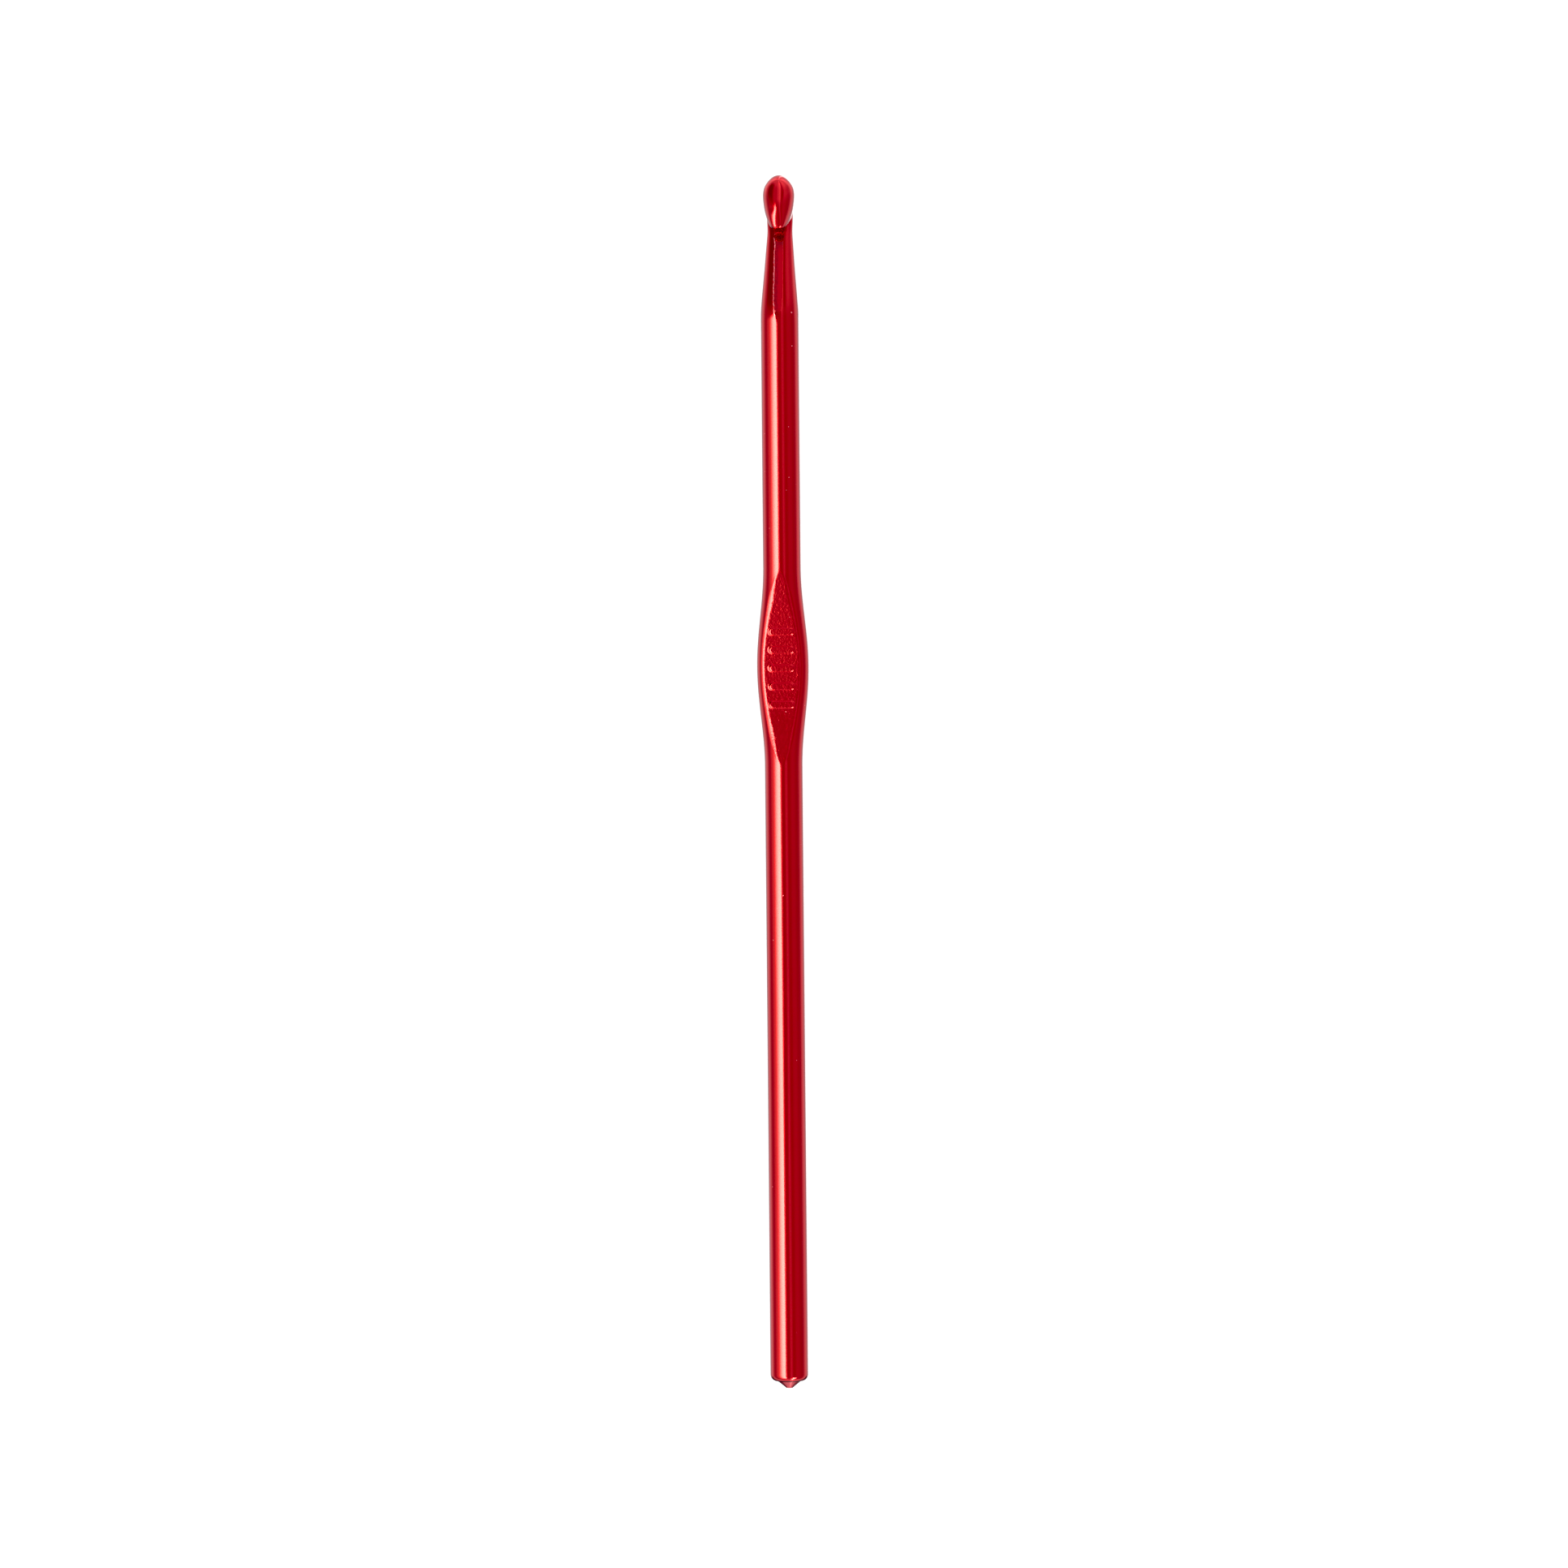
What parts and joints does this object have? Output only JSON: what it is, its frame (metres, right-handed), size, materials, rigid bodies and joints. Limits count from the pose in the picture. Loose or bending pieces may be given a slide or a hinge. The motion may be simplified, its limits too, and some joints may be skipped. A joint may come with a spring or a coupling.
{
  "type": "crochet hook",
  "caption": "Straight one-piece metal crochet hook with an undercut lip, tapered throat, pressed thumb rest and round handle.",
  "frame": {"origin": "on the rod's axis at mid-length, half way between the tip of the head and the tip of the tail pip", "axes": "+X along the rod towards the head; +Z the side that the mouth and the front of the thumb rest face; +Y completes the right-handed frame"},
  "size_m": [0.16, 0.0068, 0.005],
  "materials": {
    "anodised_red": "bright red anodised, lightly drawn along the rod"
  },
  "bodies": {
    "root": {"hook_body": "anodised_red"}
  },
  "joints": []
}
